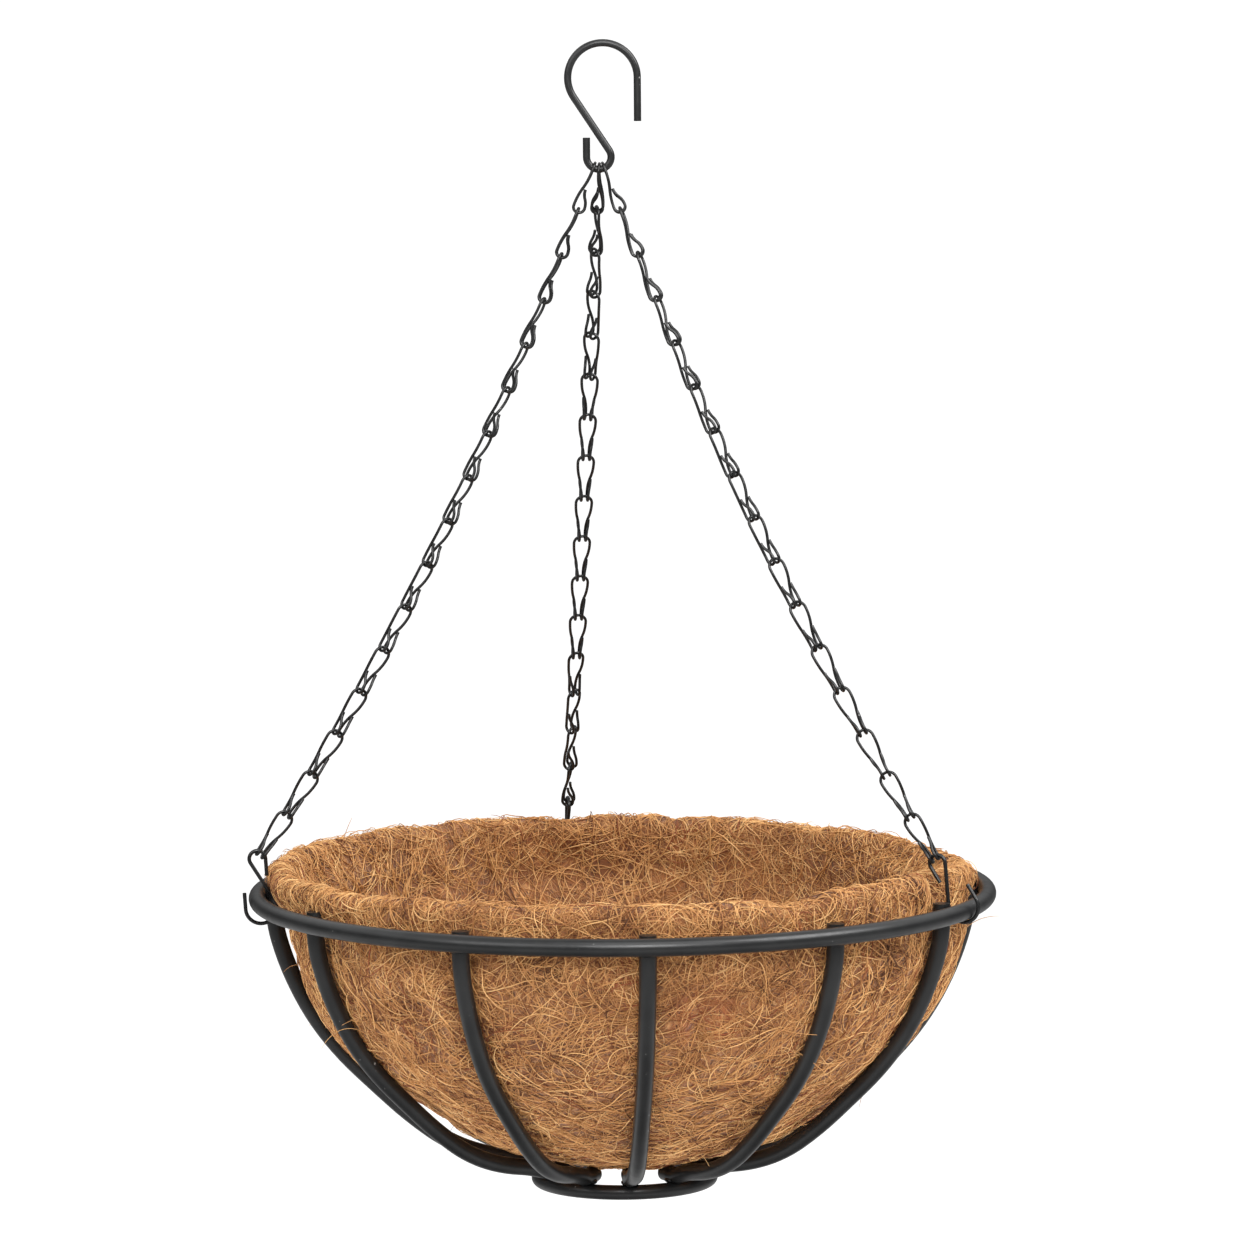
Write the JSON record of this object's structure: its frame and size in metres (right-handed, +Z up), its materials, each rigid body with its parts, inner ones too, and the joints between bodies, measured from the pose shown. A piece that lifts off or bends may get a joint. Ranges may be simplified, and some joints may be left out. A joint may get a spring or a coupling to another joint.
{
  "type": "hanging basket",
  "caption": "round bowl-shaped hanging planter of black bent rods with a coir fibre liner, hung from an S hook by wire link chains",
  "frame": {"origin": "the hang point: the inside of the top hook's upper bend, where it rests on a bracket", "axes": "+Z up, +X to the viewer's right in the hook's own plane, +Y to the back; millimetres in the STEP files"},
  "size_m": [0.4086, 0.4068, 0.6234],
  "materials": {
    "black_powder_coat": "satin black powder coat over steel wire and tube",
    "coir": "matted coconut fibre felt, rough, tan brown"
  },
  "bodies": {
    "top_hook": {"top_hook": "black_powder_coat"},
    "basket": {"rim_ring": "black_powder_coat", "base_ring": "black_powder_coat", "ribs_front": "black_powder_coat", "ribs_right": "black_powder_coat", "ribs_back": "black_powder_coat", "ribs_left": "black_powder_coat", "coir_liner": "coir"},
    "rim_hook_left": {"rim_hook_left": "black_powder_coat"},
    "chain_left_link_14": {"chain_left_link_14": "black_powder_coat"},
    "chain_left_link_16": {"chain_left_link_16": "black_powder_coat"},
    "chain_left_link_15": {"chain_left_link_15": "black_powder_coat"},
    "chain_left_link_13": {"chain_left_link_13": "black_powder_coat"},
    "chain_left_link_12": {"chain_left_link_12": "black_powder_coat"},
    "chain_left_link_11": {"chain_left_link_11": "black_powder_coat"},
    "chain_left_link_10": {"chain_left_link_10": "black_powder_coat"},
    "chain_left_link_09": {"chain_left_link_09": "black_powder_coat"},
    "chain_left_link_08": {"chain_left_link_08": "black_powder_coat"},
    "chain_left_link_07": {"chain_left_link_07": "black_powder_coat"},
    "chain_left_link_06": {"chain_left_link_06": "black_powder_coat"},
    "chain_left_link_05": {"chain_left_link_05": "black_powder_coat"},
    "chain_left_link_04": {"chain_left_link_04": "black_powder_coat"},
    "chain_left_link_03": {"chain_left_link_03": "black_powder_coat"},
    "chain_left_link_02": {"chain_left_link_02": "black_powder_coat"},
    "chain_left_link_01": {"chain_left_link_01": "black_powder_coat"},
    "rim_hook_right": {"rim_hook_right": "black_powder_coat"},
    "chain_right_link_14": {"chain_right_link_14": "black_powder_coat"},
    "chain_right_link_16": {"chain_right_link_16": "black_powder_coat"},
    "chain_right_link_15": {"chain_right_link_15": "black_powder_coat"},
    "chain_right_link_13": {"chain_right_link_13": "black_powder_coat"},
    "chain_right_link_12": {"chain_right_link_12": "black_powder_coat"},
    "chain_right_link_11": {"chain_right_link_11": "black_powder_coat"},
    "chain_right_link_10": {"chain_right_link_10": "black_powder_coat"},
    "chain_right_link_09": {"chain_right_link_09": "black_powder_coat"},
    "chain_right_link_08": {"chain_right_link_08": "black_powder_coat"},
    "chain_right_link_07": {"chain_right_link_07": "black_powder_coat"},
    "chain_right_link_06": {"chain_right_link_06": "black_powder_coat"},
    "chain_right_link_05": {"chain_right_link_05": "black_powder_coat"},
    "chain_right_link_04": {"chain_right_link_04": "black_powder_coat"},
    "chain_right_link_03": {"chain_right_link_03": "black_powder_coat"},
    "chain_right_link_02": {"chain_right_link_02": "black_powder_coat"},
    "chain_right_link_01": {"chain_right_link_01": "black_powder_coat"},
    "rim_hook_back": {"rim_hook_back": "black_powder_coat"},
    "chain_back_link_14": {"chain_back_link_14": "black_powder_coat"},
    "chain_back_link_16": {"chain_back_link_16": "black_powder_coat"},
    "chain_back_link_15": {"chain_back_link_15": "black_powder_coat"},
    "chain_back_link_13": {"chain_back_link_13": "black_powder_coat"},
    "chain_back_link_12": {"chain_back_link_12": "black_powder_coat"},
    "chain_back_link_11": {"chain_back_link_11": "black_powder_coat"},
    "chain_back_link_10": {"chain_back_link_10": "black_powder_coat"},
    "chain_back_link_09": {"chain_back_link_09": "black_powder_coat"},
    "chain_back_link_08": {"chain_back_link_08": "black_powder_coat"},
    "chain_back_link_07": {"chain_back_link_07": "black_powder_coat"},
    "chain_back_link_06": {"chain_back_link_06": "black_powder_coat"},
    "chain_back_link_05": {"chain_back_link_05": "black_powder_coat"},
    "chain_back_link_04": {"chain_back_link_04": "black_powder_coat"},
    "chain_back_link_03": {"chain_back_link_03": "black_powder_coat"},
    "chain_back_link_02": {"chain_back_link_02": "black_powder_coat"},
    "chain_back_link_01": {"chain_back_link_01": "black_powder_coat"}
  },
  "joints": [
    {"name": "basket_swing", "type": "hinge", "parent": "top_hook", "child": "basket", "pos_m": [-0.0023, 0, -0.0658], "axis": [1, 0, 0], "range_deg": [-25, 25]},
    {"name": "chain_left_sway", "type": "hinge", "parent": "basket", "child": "chain_left_link_14", "pos_m": [-0.21229, -0.02557, -0.51041], "axis": [-0.1226, 0.9925, 0], "range_deg": [0, 1.87]},
    {"name": "chain_left_link_16_turn", "type": "hinge", "parent": "basket", "child": "chain_left_link_16", "pos_m": [-0.18995, -0.02281, -0.45932], "axis": [-0.1226, 0.9925, 0], "range_deg": [0, 3.82]},
    {"name": "chain_left_link_15_turn", "type": "hinge", "parent": "basket", "child": "chain_left_link_15", "pos_m": [-0.19301, -0.02319, -0.46787], "axis": [-0.1226, 0.9925, 0], "range_deg": [0, 3.21]},
    {"name": "chain_left_link_13_turn", "type": "hinge", "parent": "basket", "child": "chain_left_link_13", "pos_m": [-0.41731, -0.0509, -0.93477], "axis": [-0.1226, 0.9925, 0], "range_deg": [0, 0.518]},
    {"name": "chain_left_link_12_turn", "type": "hinge", "parent": "basket", "child": "chain_left_link_12", "pos_m": [-0.00944, -0.00051, -0.098], "axis": [0.1226, -0.9925, 0], "range_deg": [0, 1.18]},
    {"name": "chain_left_link_11_turn", "type": "hinge", "parent": "basket", "child": "chain_left_link_11", "pos_m": [-0.07216, -0.00826, -0.22836], "axis": [0.1226, -0.9925, 0], "range_deg": [0, 2.7]},
    {"name": "chain_left_link_10_turn", "type": "hinge", "parent": "basket", "child": "chain_left_link_10", "pos_m": [-0.08296, -0.00959, -0.25125], "axis": [0.1226, -0.9925, 0], "range_deg": [0, 3.86]},
    {"name": "chain_left_link_09_turn", "type": "hinge", "parent": "basket", "child": "chain_left_link_09", "pos_m": [-0.08486, -0.00983, -0.25532], "axis": [0.1226, -0.9925, 0], "range_deg": [0, 4.48]},
    {"name": "chain_left_link_08_turn", "type": "hinge", "parent": "basket", "child": "chain_left_link_08", "pos_m": [-0.08485, -0.00983, -0.25531], "axis": [0.1226, -0.9925, 0], "range_deg": [0, 4.45]},
    {"name": "chain_left_link_07_turn", "type": "hinge", "parent": "basket", "child": "chain_left_link_07", "pos_m": [-0.08648, -0.01003, -0.25925], "axis": [0.1226, -0.9925, 0], "range_deg": [0, 3.77]},
    {"name": "chain_left_link_06_turn", "type": "hinge", "parent": "basket", "child": "chain_left_link_06", "pos_m": [-0.09651, -0.01127, -0.28325], "axis": [0.1226, -0.9925, 0], "range_deg": [0, 2.55]},
    {"name": "chain_left_link_05_turn", "type": "hinge", "parent": "basket", "child": "chain_left_link_05", "pos_m": [-0.16544, -0.01978, -0.44829], "axis": [0.1226, -0.9925, 0], "range_deg": [0, 0.958]},
    {"name": "chain_left_link_04_turn", "type": "hinge", "parent": "basket", "child": "chain_left_link_04", "pos_m": [0.09828, 0.0128, 0.18307], "axis": [-0.1226, 0.9925, 0], "range_deg": [0, 0.799]},
    {"name": "chain_left_link_03_turn", "type": "hinge", "parent": "basket", "child": "chain_left_link_03", "pos_m": [0.00829, 0.00168, -0.03244], "axis": [-0.1226, 0.9925, 0], "range_deg": [0, 2.39]},
    {"name": "chain_left_link_02_turn", "type": "hinge", "parent": "basket", "child": "chain_left_link_02", "pos_m": [-0.00332, 0.00024, -0.06031], "axis": [-0.1226, 0.9925, 0], "range_deg": [0, 3.61]},
    {"name": "chain_left_link_01_turn", "type": "hinge", "parent": "basket", "child": "chain_left_link_01", "pos_m": [-0.0053, 0, -0.06508], "axis": [-0.1226, 0.9925, 0], "range_deg": [0, 4.29]},
    {"name": "rim_hook_left_rock", "type": "hinge", "parent": "basket", "child": "rim_hook_left", "pos_m": [-0.18993, -0.02281, -0.4589], "axis": [-0.1226, 0.9925, 0], "range_deg": [0, 3.89]},
    {"name": "chain_right_sway", "type": "hinge", "parent": "basket", "child": "chain_right_link_14", "pos_m": [0.21489, -0.0871, -0.50499], "axis": [0.3766, 0.9264, 0], "range_deg": [0, 2.83]},
    {"name": "chain_right_link_16_turn", "type": "hinge", "parent": "basket", "child": "chain_right_link_16", "pos_m": [0.19056, -0.07721, -0.45976], "axis": [0.3766, 0.9264, 0], "range_deg": [0, 5.3]},
    {"name": "chain_right_link_15_turn", "type": "hinge", "parent": "basket", "child": "chain_right_link_15", "pos_m": [0.19549, -0.07921, -0.46886], "axis": [0.3766, 0.9264, 0], "range_deg": [0, 4.47]},
    {"name": "chain_right_link_13_turn", "type": "hinge", "parent": "basket", "child": "chain_right_link_13", "pos_m": [0.31354, -0.12721, -0.68952], "axis": [0.3766, 0.9264, 0], "range_deg": [0, 1.33]},
    {"name": "chain_right_link_12_turn", "type": "hinge", "parent": "basket", "child": "chain_right_link_12", "pos_m": [-0.30073, 0.12252, 0.46135], "axis": [-0.3766, -0.9264, 0], "range_deg": [0, 0.584]},
    {"name": "chain_right_link_11_turn", "type": "hinge", "parent": "basket", "child": "chain_right_link_11", "pos_m": [0.0154, -0.006, -0.1306], "axis": [-0.3766, -0.9264, 0], "range_deg": [0, 2.33]},
    {"name": "chain_right_link_10_turn", "type": "hinge", "parent": "basket", "child": "chain_right_link_10", "pos_m": [0.04913, -0.01971, -0.19362], "axis": [-0.3766, -0.9264, 0], "range_deg": [0, 3.72]},
    {"name": "chain_right_link_09_turn", "type": "hinge", "parent": "basket", "child": "chain_right_link_09", "pos_m": [0.05736, -0.02306, -0.2089], "axis": [-0.3766, -0.9264, 0], "range_deg": [0, 4.55]},
    {"name": "chain_right_link_08_turn", "type": "hinge", "parent": "basket", "child": "chain_right_link_08", "pos_m": [0.05836, -0.02346, -0.21073], "axis": [-0.3766, -0.9264, 0], "range_deg": [0, 4.74]},
    {"name": "chain_right_link_07_turn", "type": "hinge", "parent": "basket", "child": "chain_right_link_07", "pos_m": [0.05707, -0.02294, -0.20856], "axis": [-0.3766, -0.9264, 0], "range_deg": [0, 4.29]},
    {"name": "chain_right_link_06_turn", "type": "hinge", "parent": "basket", "child": "chain_right_link_06", "pos_m": [0.05636, -0.02265, -0.20864], "axis": [-0.3766, -0.9264, 0], "range_deg": [0, 3.29]},
    {"name": "chain_right_link_05_turn", "type": "hinge", "parent": "basket", "child": "chain_right_link_05", "pos_m": [0.06191, -0.02491, -0.22546], "axis": [-0.3766, -0.9264, 0], "range_deg": [0, 1.93]},
    {"name": "chain_right_link_04_turn", "type": "hinge", "parent": "basket", "child": "chain_right_link_04", "pos_m": [0.14781, -0.05983, -0.45662], "axis": [-0.3766, -0.9264, 0], "range_deg": [0, 0.431]},
    {"name": "chain_right_link_03_turn", "type": "hinge", "parent": "basket", "child": "chain_right_link_03", "pos_m": [-0.023, 0.00961, -0.00122], "axis": [0.3766, 0.9264, 0], "range_deg": [0, 0.975]},
    {"name": "chain_right_link_02_turn", "type": "hinge", "parent": "basket", "child": "chain_right_link_02", "pos_m": [-0.00151, 0.00088, -0.0592], "axis": [0.3766, 0.9264, 0], "range_deg": [0, 1.98]},
    {"name": "chain_right_link_01_turn", "type": "hinge", "parent": "basket", "child": "chain_right_link_01", "pos_m": [0.00064, 0, -0.06511], "axis": [0.3766, 0.9264, 0], "range_deg": [0, 2.43]},
    {"name": "rim_hook_right_rock", "type": "hinge", "parent": "basket", "child": "rim_hook_right", "pos_m": [0.19001, -0.07722, -0.4589], "axis": [0.3766, 0.9264, 0], "range_deg": [0, 5.48]},
    {"name": "chain_back_sway", "type": "hinge", "parent": "basket", "child": "chain_back_link_14", "pos_m": [-0.02789, 0.21669, -0.49945], "axis": [-0.9931, -0.1173, 0], "range_deg": [0, 4.02]},
    {"name": "chain_back_link_16_turn", "type": "hinge", "parent": "basket", "child": "chain_back_link_16", "pos_m": [-0.02548, 0.19633, -0.46001], "axis": [-0.9931, -0.1173, 0], "range_deg": [0, 7.09]},
    {"name": "chain_back_link_15_turn", "type": "hinge", "parent": "basket", "child": "chain_back_link_15", "pos_m": [-0.02604, 0.20104, -0.46897], "axis": [-0.9931, -0.1173, 0], "range_deg": [0, 6]},
    {"name": "chain_back_link_13_turn", "type": "hinge", "parent": "basket", "child": "chain_back_link_13", "pos_m": [-0.03478, 0.27502, -0.61403], "axis": [-0.9931, -0.1173, 0], "range_deg": [0, 2.36]},
    {"name": "chain_back_link_12_turn", "type": "hinge", "parent": "basket", "child": "chain_back_link_12", "pos_m": [-0.19679, 1.64703, -3.31303], "axis": [-0.9931, -0.1173, 0], "range_deg": [0, 0.234]},
    {"name": "chain_back_link_11_turn", "type": "hinge", "parent": "basket", "child": "chain_back_link_11", "pos_m": [0.0044, -0.05674, 0.03836], "axis": [0.9931, 0.1173, 0], "range_deg": [0, 1.81]},
    {"name": "chain_back_link_10_turn", "type": "hinge", "parent": "basket", "child": "chain_back_link_10", "pos_m": [-0.00521, 0.02463, -0.12203], "axis": [0.9931, 0.1173, 0], "range_deg": [0, 3.44]},
    {"name": "chain_back_link_09_turn", "type": "hinge", "parent": "basket", "child": "chain_back_link_09", "pos_m": [-0.00739, 0.04314, -0.15881], "axis": [0.9931, 0.1173, 0], "range_deg": [0, 4.53]},
    {"name": "chain_back_link_08_turn", "type": "hinge", "parent": "basket", "child": "chain_back_link_08", "pos_m": [-0.00788, 0.04725, -0.16712], "axis": [0.9931, 0.1173, 0], "range_deg": [0, 4.98]},
    {"name": "chain_back_link_07_turn", "type": "hinge", "parent": "basket", "child": "chain_back_link_07", "pos_m": [-0.00773, 0.046, -0.16453], "axis": [0.9931, 0.1173, 0], "range_deg": [0, 4.78]},
    {"name": "chain_back_link_06_turn", "type": "hinge", "parent": "basket", "child": "chain_back_link_06", "pos_m": [-0.00732, 0.04249, -0.15687], "axis": [0.9931, 0.1173, 0], "range_deg": [0, 4.03]},
    {"name": "chain_back_link_05_turn", "type": "hinge", "parent": "basket", "child": "chain_back_link_05", "pos_m": [-0.00683, 0.03833, -0.14686], "axis": [0.9931, 0.1173, 0], "range_deg": [0, 2.92]},
    {"name": "chain_back_link_04_turn", "type": "hinge", "parent": "basket", "child": "chain_back_link_04", "pos_m": [-0.00649, 0.03547, -0.13696], "axis": [0.9931, 0.1173, 0], "range_deg": [0, 1.68]},
    {"name": "chain_back_link_03_turn", "type": "hinge", "parent": "basket", "child": "chain_back_link_03", "pos_m": [-0.00749, 0.04392, -0.13677], "axis": [0.9931, 0.1173, 0], "range_deg": [0, 0.563]},
    {"name": "chain_back_link_02_turn", "type": "hinge", "parent": "basket", "child": "chain_back_link_02", "pos_m": [0.00244, -0.04014, -0.05331], "axis": [-0.9931, -0.1173, 0], "range_deg": [0, 0.225]},
    {"name": "chain_back_link_01_turn", "type": "hinge", "parent": "basket", "child": "chain_back_link_01", "pos_m": [-0.00053, -0.015, -0.07176], "axis": [-0.9931, -0.1173, 0], "range_deg": [0, 0.426]},
    {"name": "rim_hook_back_rock", "type": "hinge", "parent": "basket", "child": "rim_hook_back", "pos_m": [-0.02624, 0.19561, -0.4589], "axis": [-0.9931, -0.1173, 0], "range_deg": [0, 7.4]}
  ],
  "couplings": [
    {"joint": "chain_left_link_16_turn", "follows": "chain_left_sway", "ratio": 1.8768},
    {"joint": "chain_left_link_15_turn", "follows": "chain_left_sway", "ratio": 1.5735},
    {"joint": "chain_left_link_13_turn", "follows": "chain_left_sway", "ratio": 0.24597},
    {"joint": "chain_left_link_12_turn", "follows": "chain_left_sway", "ratio": 0.57144},
    {"joint": "chain_left_link_11_turn", "follows": "chain_left_sway", "ratio": 1.3255},
    {"joint": "chain_left_link_10_turn", "follows": "chain_left_sway", "ratio": 1.8989},
    {"joint": "chain_left_link_09_turn", "follows": "chain_left_sway", "ratio": 2.2022},
    {"joint": "chain_left_link_08_turn", "follows": "chain_left_sway", "ratio": 2.1868},
    {"joint": "chain_left_link_07_turn", "follows": "chain_left_sway", "ratio": 1.8527},
    {"joint": "chain_left_link_06_turn", "follows": "chain_left_sway", "ratio": 1.2484},
    {"joint": "chain_left_link_05_turn", "follows": "chain_left_sway", "ratio": 0.46351},
    {"joint": "chain_left_link_04_turn", "follows": "chain_left_sway", "ratio": 0.38473},
    {"joint": "chain_left_link_03_turn", "follows": "chain_left_sway", "ratio": 1.1696},
    {"joint": "chain_left_link_02_turn", "follows": "chain_left_sway", "ratio": 1.7739},
    {"joint": "chain_left_link_01_turn", "follows": "chain_left_sway", "ratio": 2.108},
    {"joint": "rim_hook_left_rock", "follows": "chain_left_sway", "ratio": 1.9101},
    {"joint": "chain_right_link_16_turn", "follows": "chain_right_sway", "ratio": 1.7253},
    {"joint": "chain_right_link_15_turn", "follows": "chain_right_sway", "ratio": 1.452},
    {"joint": "chain_right_link_13_turn", "follows": "chain_right_sway", "ratio": 0.42898},
    {"joint": "chain_right_link_12_turn", "follows": "chain_right_sway", "ratio": 0.18412},
    {"joint": "chain_right_link_11_turn", "follows": "chain_right_sway", "ratio": 0.75532},
    {"joint": "chain_right_link_10_turn", "follows": "chain_right_sway", "ratio": 1.2072},
    {"joint": "chain_right_link_09_turn", "follows": "chain_right_sway", "ratio": 1.4804},
    {"joint": "chain_right_link_08_turn", "follows": "chain_right_sway", "ratio": 1.543},
    {"joint": "chain_right_link_07_turn", "follows": "chain_right_sway", "ratio": 1.3949},
    {"joint": "chain_right_link_06_turn", "follows": "chain_right_sway", "ratio": 1.0682},
    {"joint": "chain_right_link_05_turn", "follows": "chain_right_sway", "ratio": 0.62219},
    {"joint": "chain_right_link_04_turn", "follows": "chain_right_sway", "ratio": 0.13426},
    {"joint": "chain_right_link_03_turn", "follows": "chain_right_sway", "ratio": 0.31178},
    {"joint": "chain_right_link_02_turn", "follows": "chain_right_sway", "ratio": 0.63847},
    {"joint": "chain_right_link_01_turn", "follows": "chain_right_sway", "ratio": 0.78656},
    {"joint": "rim_hook_right_rock", "follows": "chain_right_sway", "ratio": 1.7837},
    {"joint": "chain_back_link_16_turn", "follows": "chain_back_sway", "ratio": 1.6272},
    {"joint": "chain_back_link_15_turn", "follows": "chain_back_sway", "ratio": 1.3765},
    {"joint": "chain_back_link_13_turn", "follows": "chain_back_sway", "ratio": 0.53939},
    {"joint": "chain_back_link_12_turn", "follows": "chain_back_sway", "ratio": 0.049276},
    {"joint": "chain_back_link_11_turn", "follows": "chain_back_sway", "ratio": 0.41131},
    {"joint": "chain_back_link_10_turn", "follows": "chain_back_sway", "ratio": 0.78782},
    {"joint": "chain_back_link_09_turn", "follows": "chain_back_sway", "ratio": 1.0385},
    {"joint": "chain_back_link_08_turn", "follows": "chain_back_sway", "ratio": 1.1408},
    {"joint": "chain_back_link_07_turn", "follows": "chain_back_sway", "ratio": 1.0946},
    {"joint": "chain_back_link_06_turn", "follows": "chain_back_sway", "ratio": 0.92259},
    {"joint": "chain_back_link_05_turn", "follows": "chain_back_sway", "ratio": 0.66652},
    {"joint": "chain_back_link_04_turn", "follows": "chain_back_sway", "ratio": 0.38092},
    {"joint": "chain_back_link_03_turn", "follows": "chain_back_sway", "ratio": 0.12485},
    {"joint": "chain_back_link_02_turn", "follows": "chain_back_sway", "ratio": 0.047151},
    {"joint": "chain_back_link_01_turn", "follows": "chain_back_sway", "ratio": 0.09332},
    {"joint": "rim_hook_back_rock", "follows": "chain_back_sway", "ratio": 1.6974}
  ]
}
